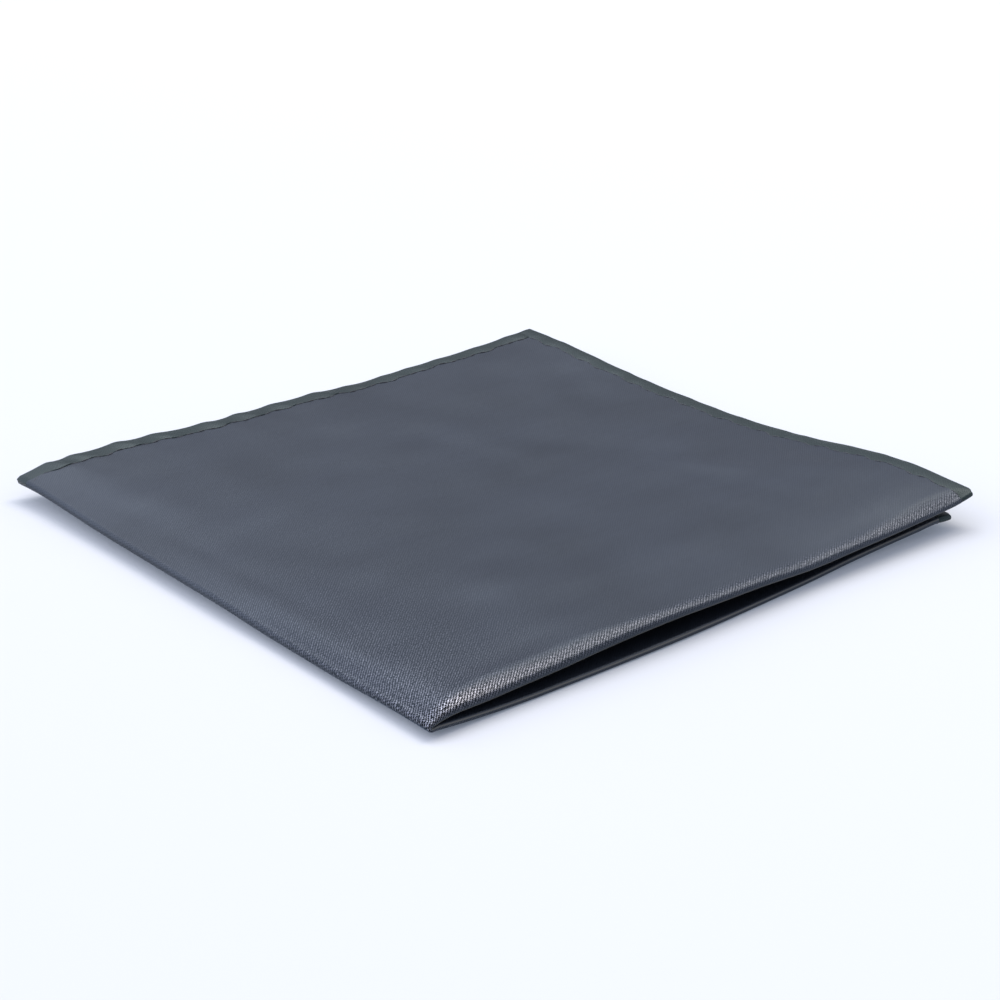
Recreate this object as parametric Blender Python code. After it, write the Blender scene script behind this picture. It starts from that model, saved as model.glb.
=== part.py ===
"""Satin pocket square, hemmed all round, folded in quarters and lying flat.

The cloth is folded in half, then in half again. Two upper layers lie on each other and share
one wall, the upper leaf, and so do the two lower layers, the lower leaf. The leaves are joined
by the closed fold. Between them the cloth is open at the lips, and at the hemmed edges.

Frame: +Z up, the origin under the middle of the folded square, on the surface it lies on. The
closed fold runs along Y at -X, the folded lips run along X at -Y, the left hem lies along +Y and
the right hem along +X. Sizes are millimetres, turned into metres where a mesh is made.
"""

import math

import bmesh
import bpy
import numpy as np

MILLIMETRE = 0.001

# Driving sizes.
SIDE = 110.0            # side of the folded square, half the side of the hemmed cloth
LEAF = 1.2              # a leaf: two layers of cloth pressed together
PARTING = 0.3           # clear space between pieces that lie on, or beside, each other
HEM_WIDTH = 3.5         # turned and stitched edge
HEM_PROUD = 0.15        # how far the upper hem stands above the panel
LOWER_SHORT_LIP = 4.8   # how far the lower leaf stops short of the upper one at the lips
LOWER_SHORT_FAR = 2.5   # and at the far corner
LOWER_SHORT_LEFT = 0.8  # and along the left hem
LOWER_LIP_BOW = 0.5     # how far the lower lip bows out in the middle
TAIL = 0.5              # how far the closed fold runs on under the square

# Forms that spread into the panel from its edges.
FOLD_REACH = 45.0       # lift of the closed fold, across the lower leaf
LIP_REACH = 44.0        # lift of the lower lip's right end, along the right hem
LEAST_LIFT = 0.03       # below this the leaf lies flat
LIP_CURL = 0.75         # how far the panel rises behind the upper lip
LIP_CURL_REACH = 5.0
LOFT = 0.35             # air between the leaves in the middle of the square
TROUGH_DEPTH = 0.25     # shallow trough that runs beside the closed fold
TROUGH_PLACE = 16.0
TROUGH_WIDTH = 9.0

# Puckers that the stitching draws into the hems.
PUCKER_PITCH = 7.9
PUCKER_UNEVEN = 1.4
PUCKER_RISE = 0.28
PUCKER_SPREAD = 0.30
PUCKER_SKEW = 0.7
RIGHT_PUCKERS = 0.45    # the right hems' puckers, as a part of the left ones'

# Ends of the right hems, where they turn round the lips.
TIP_REACH = 0.8         # how far the end reaches past the hem's free edge
TIP_LENGTH = 8.0
HEM_WRAP = 0.4          # how far the turned plies stand out underneath
HEM_WRAP_LENGTH = 6.0

# Mesh steps.
PANEL_STEP = 4.3
HEM_STEP = 1.9
ARC_STEPS = 8

HALF = SIDE / 2
FOLD_RADIUS = LEAF + PARTING / 2        # outside of the closed fold
FOLD_MID_RADIUS = FOLD_RADIUS - LEAF / 2
FOLD_CENTRE = FOLD_RADIUS - HALF        # x of the closed fold's centre line
ARC_LENGTH = math.pi * FOLD_MID_RADIUS


def table(columns, *rows):
    """Named columns of a short table, each as an array."""
    return {name: np.array(values, float) for name, values in zip(columns.split(), zip(*rows))}


# Along the lips, from the near corner. The lower lip's lift off the surface, and the air in the
# mouth between the leaves beyond their parting.
LIPS = table(
    "place lift air",
    (1.35, 0.0, 0.0),
    (5.5, 0.0, 0.8),
    (14.0, 0.0, 1.15),
    (28.0, 0.0, 1.7),
    (48.0, 0.0, 2.25),
    (60.0, 0.0, 2.0),
    (75.0, 0.1, 1.4),
    (84.0, 0.5, 1.25),
    (93.0, 1.1, 1.05),
    (98.0, 1.7, 0.95),
    (103.0, 2.3, 1.05),
    (110.0, 1.7, 1.25),
)

# Along the closed fold, from the near corner to the left corner.
CLOSED_FOLD = table(
    "place lift",
    (0.0, 0.0),
    (20.0, 0.0),
    (35.0, 0.2),
    (51.0, 0.45),
    (73.0, 1.0),
    (97.0, 1.6),
    (110.0, 2.4),
)

# Along the left hem, from the left corner to the far corner.
LEFT_EDGE = table(
    "place air",
    (1.35, 0.0),
    (3.0, 0.1),
    (11.0, 0.9),
    (19.0, 1.4),
    (27.0, 1.4),
    (35.0, 1.15),
    (47.0, 1.1),
    (59.0, 0.9),
    (69.0, 0.35),
    (79.0, 0.5),
    (91.0, 0.6),
    (102.0, 0.9),
    (110.0, 1.35),
)

# Along the right hem, from the right corner to the far corner.
RIGHT_EDGE = table(
    "place air",
    (0.0, 1.25),
    (3.0, 1.8),
    (7.0, 2.5),
    (11.0, 2.9),
    (16.0, 3.05),
    (21.0, 2.9),
    (28.0, 2.3),
    (35.0, 1.5),
    (43.0, 0.8),
    (52.0, 0.2),
    (63.0, 0.0),
    (73.0, 0.05),
    (85.0, 0.45),
    (97.0, 1.1),
    (110.0, 1.3),
)

# Ridges of the puckers that show along the upper left hem, from the left corner.
LEFT_RIDGES = table(
    "place",
    (4.6,), (9.1,), (18.1,), (25.2,), (35.7,), (42.2,), (49.8,), (58.9,),
    (66.0,), (74.3,), (79.8,), (86.6,), (95.4,), (103.4,), (111.0,),
)

# Half section of a hem. Inset is the distance in from the free edge, and share is the height as
# a part of the hem's half thickness. Towards the free edge a hem is layered, with a groove
# between its two layers, and at a fold it is plain.
HEM_SECTION = table(
    "inset share plain_inset plain_share",
    (3.50, 1.00, 3.50, 1.00),
    (2.20, 1.00, 2.20, 1.00),
    (0.55, 1.00, 0.55, 1.00),
    (0.16, 0.80, 0.22, 0.80),
    (0.00, 0.52, 0.08, 0.56),
    (0.12, 0.27, 0.02, 0.34),
    (0.50, 0.17, 0.00, 0.18),
    (1.00, 0.12, 0.00, 0.12),
)

# Rows that round a folded edge: the way in from the edge, and the height as a part of the half
# thickness.
ROUNDING_ANGLES = np.radians((15.0, 40.0, 65.0, 90.0))

COLOURS = table(
    "red green blue roughness",
    (0.080, 0.098, 0.144, 0.48),
    (0.070, 0.088, 0.112, 0.55),
)
PANEL_FINISH, HEM_FINISH = 0, 1


def read_table(rows, column, place):
    """Smooth curve through a table's rows, level beyond its ends."""
    places, values = rows["place"], rows[column]
    slopes = np.gradient(values, places)
    place = np.clip(place, places[0], places[-1])
    row = np.clip(np.searchsorted(places, place) - 1, 0, len(places) - 2)
    step = places[row + 1] - places[row]
    part = (place - places[row]) / step
    start = (1 + 2 * part) * (1 - part) ** 2 * values[row]
    start_slope = part * (1 - part) ** 2 * step * slopes[row]
    end = part**2 * (3 - 2 * part) * values[row + 1]
    end_slope = part**2 * (1 - part) * step * slopes[row + 1]
    return np.maximum(start + start_slope + end - end_slope, 0.0)


def nearness(distance, reach):
    """One at an edge, falling smoothly to nothing at its reach."""
    return np.clip(1 - distance / reach, 0.0, 1.0) ** 2


def lower_lift(x, y):
    """Height of the lower leaf's underside above the surface that the square lies on."""
    from_fold = np.maximum(x - FOLD_CENTRE, 0.0)
    from_lips = y + HALF
    fold = read_table(CLOSED_FOLD, "lift", from_lips) * nearness(from_fold, FOLD_REACH)
    lip = read_table(LIPS, "lift", x + HALF) * nearness(from_lips, LIP_REACH)
    lift = fold + lip
    return np.where(lift < LEAST_LIFT, 0.0, lift)


def air_between(x, y):
    """Air between the leaves beyond their parting, blended in from the three open edges."""
    across = np.clip((x - FOLD_CENTRE) / (HALF - FOLD_CENTRE), 0.0, 1.0)
    along = np.clip((y + HALF) / SIDE, 0.0, 1.0)
    from_lips = (1 - along) ** 2.2
    from_left = along**3
    from_right = across**2.2
    lips = read_table(LIPS, "air", x + HALF)
    left = read_table(LEFT_EDGE, "air", x + HALF)
    right = read_table(RIGHT_EDGE, "air", y + HALF)
    right_corner = RIGHT_EDGE["air"][0]
    far_corner = RIGHT_EDGE["air"][-1]
    edges = from_lips * lips + from_left * left
    edges += from_right * (right - from_lips * right_corner - from_left * far_corner)
    open_part = 1 - nearness(across * SIDE, 12.0)
    curl = LIP_CURL * open_part * (1 - nearness(y + HALF, LIP_CURL_REACH)) * from_lips
    loft = LOFT * np.sin(math.pi * across) * np.sin(math.pi * along)
    beside_fold = np.exp(-(((x + HALF - TROUGH_PLACE) / TROUGH_WIDTH) ** 2))
    trough = TROUGH_DEPTH * beside_fold * np.sin(math.pi * along) ** 2
    return np.maximum(edges + curl + loft - trough, 0.0)


def upper_surface(path, y):
    """Middle of the upper leaf's wall, and its outward direction.

    Path is the distance from the closed fold's centre line. It is x over the square, and below
    zero it runs round the fold and then on underneath.
    """
    x = FOLD_CENTRE + np.maximum(path, 0.0)
    fold_height = lower_lift(FOLD_CENTRE, y) + FOLD_RADIUS
    top = lower_lift(x, y) + 1.5 * LEAF + PARTING + air_between(x, y)
    turn = np.clip(-path / FOLD_MID_RADIUS, 0.0, math.pi)
    tail = np.maximum(-path - ARC_LENGTH, 0.0)
    middle_x = np.where(path > 0, x, FOLD_CENTRE - FOLD_MID_RADIUS * np.sin(turn) + tail)
    middle_z = np.where(path > 0, top, fold_height + FOLD_MID_RADIUS * np.cos(turn))
    middle = np.stack([middle_x, y, middle_z], axis=-1)
    outward = np.stack([-np.sin(turn), np.zeros_like(turn), np.cos(turn)], axis=-1)
    return middle, outward


def lower_surface(path, y):
    """Middle of the lower leaf's wall, and its upward direction."""
    x = FOLD_CENTRE + path
    bow = LOWER_LIP_BOW * np.sin(math.pi * (x + HALF) / SIDE) * nearness(y + HALF, LIP_REACH)
    middle = np.stack([x, y - bow, lower_lift(x, y) + LEAF / 2], axis=-1)
    upward = np.zeros_like(middle)
    upward[..., 2] = 1.0
    return middle, upward


def even_steps(start, end, step):
    """Places from start to end, evenly spaced, about a step apart."""
    return np.linspace(start, end, max(round(abs(end - start) / step), 1) + 1)


def rounding(edge_half):
    """Way in from a folded edge and share of the half thickness, row by row."""
    return edge_half * (1 - np.cos(ROUNDING_ANGLES)), np.sin(ROUNDING_ANGLES)


def lip_rows(end):
    """Rows from the lips to the left hem's seam, and the wall's share of its thickness."""
    inset, share = rounding(LEAF / 2)
    near = np.array((1.4, 2.6, 4.2, 6.5))
    rows = np.concatenate([inset, near, even_steps(9.5, end + HALF, PANEL_STEP)])
    shares = np.concatenate([share, np.ones(len(rows) - len(share))])
    return rows - HALF, shares


def pucker_wave(place, ridges):
    """One at each ridge of a hem's puckers and nothing between, leaning to one side."""
    phase = 2 * math.pi * np.interp(place, ridges, np.arange(len(ridges)))
    return 0.5 + 0.5 * np.cos(phase + PUCKER_SKEW * np.sin(phase))


def hidden_ridges(shift):
    """Ridge places of a hem whose puckers don't show, as uneven as those that do."""
    number = np.arange(-1, int(SIDE / PUCKER_PITCH) + 3)
    return PUCKER_PITCH * (number + shift) + PUCKER_UNEVEN * np.sin(2.4 * number + 9 * shift)


def corner_inset(distance, radius):
    """How far a rounded corner's outline lies inside the square one."""
    gap = np.clip(radius - distance, 0.0, radius)
    return radius - np.sqrt(radius**2 - gap**2)


def closed_slab(name, above, below, finish):
    """Object between two grids of points, closed round their rim."""
    rows, columns = above.shape[:2]
    points = np.concatenate([above.reshape(-1, 3), below.reshape(-1, 3)]) * MILLIMETRE
    index = np.arange(rows * columns).reshape(rows, columns)
    under = index + rows * columns
    cells = np.stack([index[:-1, :-1], index[1:, :-1], index[1:, 1:], index[:-1, 1:]], axis=-1)
    under_cells = np.stack([under[:-1, :-1], under[:-1, 1:], under[1:, 1:], under[1:, :-1]], axis=-1)
    rim = np.concatenate([index[0, :-1], index[:-1, -1], index[-1, :0:-1], index[:0:-1, 0]])
    next_rim = np.roll(rim, -1)
    shift = rows * columns
    walls = np.stack([rim, next_rim, next_rim + shift, rim + shift], axis=-1)
    faces = np.concatenate([cells.reshape(-1, 4), under_cells.reshape(-1, 4), walls])
    mesh = bpy.data.meshes.new(name)
    mesh.from_pydata(points.tolist(), [], faces.tolist())
    outward = bmesh.new()
    outward.from_mesh(mesh)
    bmesh.ops.recalc_face_normals(outward, faces=outward.faces[:])
    outward.to_mesh(mesh)
    outward.free()
    mesh.shade_smooth()
    mesh.set_sharp_from_angle(angle=math.radians(50))
    mesh.materials.append(make_material(name, finish))
    piece = bpy.data.objects.new(name, mesh)
    bpy.context.scene.collection.objects.link(piece)
    return piece


def make_material(name, finish):
    """Satin finish of one piece."""
    material = bpy.data.materials.new(name + "_satin")
    material.use_nodes = True
    shader = material.node_tree.nodes["Principled BSDF"]
    colour = [float(COLOURS[channel][finish]) for channel in ("red", "green", "blue")]
    shader.inputs["Base Color"].default_value = (*colour, 1.0)
    shader.inputs["Roughness"].default_value = float(COLOURS["roughness"][finish])
    shader.inputs["Metallic"].default_value = 0.0
    return material


def lay_wall(name, surface, path, y, above, below, finish):
    """Wall round a surface's middle, with its own thickness above and below at each point."""
    middle, outward = surface(path, y)
    upper = middle + outward * above[..., None]
    lower = middle - outward * below[..., None]
    return closed_slab(name, upper, lower, finish)


def build_upper_leaf():
    """Two upper layers and the closed fold, from the right hem's seam round under the square."""
    right_seam = HALF - HEM_WIDTH - PARTING - FOLD_CENTRE
    flat = np.concatenate([even_steps(right_seam, 7.5, PANEL_STEP), (5.0, 3.0, 1.3)])
    path = np.concatenate([flat, even_steps(0.0, -ARC_LENGTH, ARC_LENGTH / ARC_STEPS)])
    path = np.append(path, -ARC_LENGTH - TAIL)
    rows, shares = lip_rows(HALF - HEM_WIDTH - PARTING)
    y, path = np.meshgrid(rows, path, indexing="ij")
    half = LEAF / 2 * np.broadcast_to(shares[:, None], path.shape)
    lay_wall("upper_leaf", upper_surface, path, y, half, half, PANEL_FINISH)


def lower_right_edge(y):
    """Distance of the lower leaf's free right edge from the closed fold's centre line."""
    short = LOWER_SHORT_LIP + (LOWER_SHORT_FAR - LOWER_SHORT_LIP) * (y + HALF) / SIDE
    return HALF - short - FOLD_CENTRE


def build_lower_leaf():
    """Two lower layers, flat where they lie on the surface."""
    rows, shares = lip_rows(HALF - LOWER_SHORT_LEFT - HEM_WIDTH - PARTING)
    part = even_steps(0.0, 1.0, PANEL_STEP / SIDE)
    y, part = np.meshgrid(rows, part, indexing="ij")
    start = TAIL + PARTING
    end = lower_right_edge(y) - HEM_WIDTH - PARTING
    half = LEAF / 2 * np.broadcast_to(shares[:, None], y.shape)
    lay_wall("lower_leaf", lower_surface, start + part * (end - start), y, half, half, PANEL_FINISH)


def hem_section(layered):
    """Insets and shares of a hem's half section, from plain (0) to layered (1) along the hem."""
    layered = layered[:, None]
    inset = HEM_SECTION["plain_inset"] * (1 - layered) + HEM_SECTION["inset"] * layered
    share = HEM_SECTION["plain_share"] * (1 - layered) + HEM_SECTION["share"] * layered
    return inset, share


def build_left_hem(name, surface, path, free_edge, ridges, proud):
    """Hem along a leaf's left edge. Its stations follow the path, and its width runs along Y."""
    over = np.clip(path / 4.0, 0.0, 1.0)
    turn = np.clip(-path / FOLD_MID_RADIUS, 0.0, math.pi)
    wave = over * pucker_wave(path + FOLD_CENTRE + HALF, ridges)
    spread = PUCKER_SPREAD * (wave - 0.6) * over - np.sin(turn) ** 2
    inset, share = hem_section(np.ones_like(path))
    stretch = 1 - inset / HEM_WIDTH
    y = free_edge - inset + stretch * spread[:, None]
    above = (LEAF / 2 + proud * (1 + wave * PUCKER_RISE / HEM_PROUD))[:, None] * share
    below = np.broadcast_to(LEAF / 2 * share, above.shape)
    grid_path = np.broadcast_to(path[:, None], y.shape)
    lay_wall(name, surface, grid_path, y, above, below, HEM_FINISH)


def build_right_hem(name, surface, free_edge, left_end, ridges, proud):
    """Hem along a leaf's right edge, round the lip. Stations run along Y, the width along X."""
    inset, share = rounding(LEAF / 2)
    middle = even_steps(1.5, left_end + HALF - 1.5, HEM_STEP)
    rows = np.concatenate([inset, middle, (left_end + HALF - inset)[::-1]])
    ends = np.concatenate([share, np.ones(len(middle)), share[::-1]])
    station = rows - HALF
    layered = np.clip((rows - 0.6) / 3.0, 0.0, 1.0)
    wave = RIGHT_PUCKERS * pucker_wave(rows, ridges) * np.clip(rows / 4.0, 0.0, 1.0)
    section_inset, section_share = hem_section(layered)
    rounded = corner_inset(rows, 1.0) + corner_inset(left_end + HALF - rows, 1.0)
    tip = TIP_REACH * nearness(rows, TIP_LENGTH)
    spread = PUCKER_SPREAD * (wave - 0.6 * RIGHT_PUCKERS) + tip - rounded
    stretch = 1 - section_inset / HEM_WIDTH
    path = free_edge(station)[:, None] - section_inset + stretch * spread[:, None]
    above = (LEAF / 2 + proud * (1 + wave * PUCKER_RISE / HEM_PROUD)) * ends
    above = above[:, None] * section_share
    below = (LEAF / 2 + HEM_WRAP * nearness(rows, HEM_WRAP_LENGTH)) * ends
    below = below[:, None] * section_share
    grid_y = np.broadcast_to(station[:, None], path.shape)
    lay_wall(name, surface, path, grid_y, above, below, HEM_FINISH)


def build_hems():
    """Four turned hems, two to each leaf."""
    right_seam = HALF - HEM_WIDTH - PARTING - FOLD_CENTRE
    round_fold = even_steps(0.0, -ARC_LENGTH, ARC_LENGTH / ARC_STEPS)
    upper_path = np.concatenate([even_steps(right_seam, 1.0, HEM_STEP), round_fold])
    upper_path = np.append(upper_path, -ARC_LENGTH - TAIL)
    lower_seam = lower_right_edge(HALF) - HEM_WIDTH - PARTING
    lower_path = even_steps(lower_seam, TAIL + PARTING, HEM_STEP)
    lower_left = HALF - LOWER_SHORT_LEFT
    build_left_hem("upper_left_hem", upper_surface, upper_path, HALF, LEFT_RIDGES["place"], HEM_PROUD)
    build_left_hem("lower_left_hem", lower_surface, lower_path, lower_left, hidden_ridges(0.3), 0.0)
    build_right_hem(
        "upper_right_hem",
        upper_surface,
        lambda y: np.full_like(y, HALF - FOLD_CENTRE),
        HALF,
        hidden_ridges(0.55),
        HEM_PROUD,
    )
    build_right_hem(
        "lower_right_hem", lower_surface, lower_right_edge, lower_left, hidden_ridges(0.1), 0.0
    )


def main():
    for leftover in list(bpy.data.objects):
        bpy.data.objects.remove(leftover)
    build_upper_leaf()
    build_lower_leaf()
    build_hems()


main()
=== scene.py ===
"""Looks of a satin pocket square, hemmed all round and folded in quarters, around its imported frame.

The cloth is one sheet of four layers: it runs round the two lips, where the first fold was made,
and round the closed fold, where the second was. Its four turned hems are flat tubes of three
plies, each sewn with one row of stitches. Every surface is worked out from the same folded form:
a place on the cloth is a distance along its width (the path), a distance along its length (the
run) and a height off the cloth's middle (the rise).

Frame: +Z up, the origin under the middle of the folded square. The closed fold runs along Y at
-X, the lips run along X at -Y, the left hem lies along +Y and the right hem along +X. Forms are
in millimetres, turned into metres where a mesh is made. Colours are linear.
"""

import logging
import math
from dataclasses import dataclass, field
from enum import Enum

import bmesh
import bpy
import numpy as np
from mathutils import Matrix, Vector


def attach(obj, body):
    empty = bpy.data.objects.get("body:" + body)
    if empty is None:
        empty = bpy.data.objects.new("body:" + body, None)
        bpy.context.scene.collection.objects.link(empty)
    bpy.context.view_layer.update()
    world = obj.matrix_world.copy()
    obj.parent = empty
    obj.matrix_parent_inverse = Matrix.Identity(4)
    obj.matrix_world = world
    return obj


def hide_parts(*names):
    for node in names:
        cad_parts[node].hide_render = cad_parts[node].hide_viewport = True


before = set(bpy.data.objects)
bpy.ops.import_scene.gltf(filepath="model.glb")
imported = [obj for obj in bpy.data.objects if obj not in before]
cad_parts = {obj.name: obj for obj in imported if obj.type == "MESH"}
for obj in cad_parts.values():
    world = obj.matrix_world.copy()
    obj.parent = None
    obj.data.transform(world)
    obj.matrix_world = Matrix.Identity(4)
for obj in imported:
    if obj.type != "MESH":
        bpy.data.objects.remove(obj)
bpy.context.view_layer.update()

MM = 0.001
Array = np.ndarray
Table = dict[str, Array]
Colour = tuple[float, float, float]
Piece = bpy.types.Object
Material = bpy.types.Material
Tree = bpy.types.NodeTree
Node = bpy.types.Node
Socket = bpy.types.NodeSocket
LOG = logging.getLogger("pocket_square")


def table(columns: str, *rows: tuple[float, ...]) -> Table:
    """Names the columns of a short table, which is given as rows."""
    return {name: np.array(values, float) for name, values in zip(columns.split(), zip(*rows))}


# Along the lips, from the near corner: the lower lip's lift off the surface, how far back it lies,
# the air under the top just behind the upper lip, the thickness of the lower and the upper lip, the
# slope and the width of the strip that rolls down to the upper lip, and a softer fall before it.
LIPS = table(
    "place lift back air low high slope strip soft",
    (0.7, 0, 0, 0.3, 0.85, 1.1, 0.2, 0.3, 0),
    (5.5, 0, 0, 1.48, 0.85, 1.2, 0.42, 1.5, 0),
    (10, 0, 0, 1.86, 0.85, 1.2, 0.45, 2.2, 0),
    (16, 0, 0, 2.09, 0.85, 1.2, 0.45, 2.3, 0),
    (23, 0, 0, 2.2, 0.85, 1.2, 0.45, 2.1, 0),
    (31, 0, 0, 2.55, 0.85, 1.2, 0.45, 1.9, 0),
    (38, 0, 0, 2.4, 0.92, 1.12, 0.42, 1.2, 0),
    (46, 0, 0.1, 2.3, 0.98, 1, 0.4, 0.7, 0.1),
    (54, 0, 0.4, 2.04, 0.95, 0.95, 0.38, 0.5, 0.1),
    (63, 0, 0.9, 1.94, 0.92, 0.92, 0.38, 0.5, 0.15),
    (75, 0.1, 1.5, 1.42, 0.92, 0.92, 0.38, 0.5, 0.15),
    (84, 0.5, 1.7, 1.28, 1, 0.92, 0.38, 0.5, 0.15),
    (93, 1.1, 1.4, 1.2, 0.95, 0.72, 0.4, 1.2, 0.2),
    (98, 1.6, 0.9, 1.2, 0.95, 0.66, 0.42, 1.8, 0.2),
    (103, 2.1, 0.4, 1.1, 0.95, 0.64, 0.45, 2, 0.2),
    (107, 1.9, 0, 1.25, 0.9, 0.66, 0.4, 1.6, 0.1),
    (110, 1.7, 0, 1.3, 0.9, 0.72, 0.3, 0.4, 0),
)

# Along the closed fold, from the near corner to the left corner: its lift off the surface, how far
# across the cloth the lift reaches, how high the top is raised beside it, and how far from the
# fold the top is pressed down.
CLOSED_FOLD = table(
    "place lift reach over press",
    (0, 0.95, 20, 0, 3.5),
    (4.3, 1, 20, 0, 3.5),
    (11, 1, 21, 0, 3.5),
    (20.5, 0.8, 25, 0, 3.8),
    (30, 0.85, 30, 0.1, 4),
    (40, 0.95, 36, 0.28, 5),
    (51, 1.3, 42, 0.45, 9),
    (62, 1.42, 45, 0.7, 14),
    (73, 1.52, 45, 1, 16),
    (85, 1.66, 45, 1.3, 16),
    (98, 2.1, 45, 1.62, 12),
    (104, 2.3, 45, 2, 8),
    (110, 2.5, 45, 2.4, 6),
)

# The air under the top along the left hem, from the left corner to the far corner, and along the
# right hem, from the right corner to the far corner.
LEFT_EDGE = table(
    "place air",
    *((1.35, 0), (3, 0.1), (11, 0.9), (19, 1.4), (27, 1.4), (35, 1.15), (47, 1.1), (59, 0.9)),
    *((69, 0.35), (79, 0.5), (91, 0.6), (102, 0.9), (110, 1.35)),
)
RIGHT_EDGE = table(
    "place air",
    *((0, 1.25), (3, 1.8), (7, 2.5), (11, 2.9), (16, 3.05), (21, 2.9), (28, 2.3), (35, 1.5)),
    *((43, 0.8), (52, 0.2), (63, 0), (73, 0.05), (85, 0.45), (97, 1.1), (110, 1.3)),
)

# Ridges of the puckers that show along the upper left hem, from the left corner, and their size as
# a part of the largest.
LEFT_RIDGES = table(
    "place size",
    *((4.6, 1), (9.1, 0.8), (18.1, 1), (25.2, 0.8), (35.7, 0.9), (42.2, 0.9), (49.8, 0.7)),
    *((58.9, 0.8), (66, 0.5), (74.3, 0.4), (79.8, 0.3), (86.6, 0.4), (95.4, 0.3), (103.4, 0.5)),
    (111, 0.5),
)

# Soft creases that cross the top: the middle of each, the direction it runs in as degrees from the
# lips, its length and its width each way from the middle, and its height, below nothing for a
# trough.
CREASES = table(
    "x y turn length width height",
    (13, 20, -80, 13, 4.5, 0.26),
    (8, 27, -75, 15, 5, -0.19),
    (-44, 31, -70, 10, 4, 0.19),
    (-48.5, 0, -88, 26, 3.5, -0.22),
    (-38, -6, -60, 9, 4, 0.16),
    (-7, 33, 60, 9, 5, -0.16),
    (35, -17, -65, 11, 2.2, 0.18),
    (31.5, -27, -84, 14, 3.5, -0.22),
    (44, -28, -70, 10, 3, 0.16),
    (6, -38, 5, 12, 4.5, 0.19),
    (-18, -30, -40, 12, 6, 0.16),
    (-38, -49, 4, 13, 2.4, -0.16),
    (24, 8, -50, 14, 4, -0.16),
    (36, 22, 70, 12, 3.5, 0.14),
    (-26, 12, -55, 15, 6, 0.16),
)

# Faint waves of handled cloth that cross each other: the direction of each in degrees, its length
# and where it starts, as an angle.
WAVES = ((20.0, 17.0, 0.4), (-35.0, 13.0, 2.1), (75.0, 15.0, 4.0), (-70.0, 9.5, 1.2))


def read_table(rows: Table, column: str, place: Array) -> Array:
    """Reads a smooth curve through a table's rows, level beyond its ends and never below nothing.

    Between two rows it is the cubic that meets both values and both slopes.

    Args:
        rows: a table with a place column.
        column: the column that is read.
        place: where it is read.

    Returns:
        The column's value at each place.
    """
    places, values = rows["place"], rows[column]
    slopes = np.gradient(values, places)
    place = np.clip(place, places[0], places[-1])
    row = np.clip(np.searchsorted(places, place) - 1, 0, len(places) - 2)
    step = places[row + 1] - places[row]
    part = (place - places[row]) / step
    start = (1 + 2 * part) * (1 - part) ** 2 * values[row]
    start_slope = part * (1 - part) ** 2 * step * slopes[row]
    end = part**2 * (3 - 2 * part) * values[row + 1]
    end_slope = part**2 * (1 - part) * step * slopes[row + 1]
    return np.maximum(start + start_slope + end - end_slope, 0.0)


def nearness(distance: Array, reach: float | Array) -> Array:
    """One at an edge, falling as a square to nothing at its reach."""
    return np.clip(1 - distance / reach, 0.0, 1.0) ** 2


def smooth_step(value: Array, start: float, end: float) -> Array:
    """Nothing before start and one after end, 3t² - 2t³ between."""
    part = np.clip((value - start) / (end - start), 0.0, 1.0)
    return part**2 * (3 - 2 * part)


def turned(x: Array, y: Array, degrees: float) -> tuple[Array, Array]:
    """Distances along a direction, given as degrees from X, and across it."""
    cosine, sine = math.cos(math.radians(degrees)), math.sin(math.radians(degrees))
    return x * cosine + y * sine, y * cosine - x * sine


def graded(start: float, end: float, fine: float, coarse: float, ramp: float) -> Array:
    """Lays out places that are close together at both ends and wider apart between.

    The step grows in a straight line from fine to coarse over the ramp's length, so the places
    are where the running sum of 1 / step reaches whole numbers.

    Args:
        start: the first place.
        end: the last place.
        fine: the step at both ends.
        coarse: the step away from them.
        ramp: how far from an end the step is coarse.

    Returns:
        The places, in order from start to end.
    """
    dense = np.linspace(start, end, 4000)
    from_end = np.minimum(abs(dense - start), abs(dense - end))
    step = fine + (coarse - fine) * np.clip(from_end / ramp, 0.0, 1.0)
    count = np.concatenate([[0.0], np.cumsum(abs(np.diff(dense)) / step[1:])])
    return np.interp(np.linspace(0.0, count[-1], round(count[-1]) + 1), count, dense)


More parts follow.
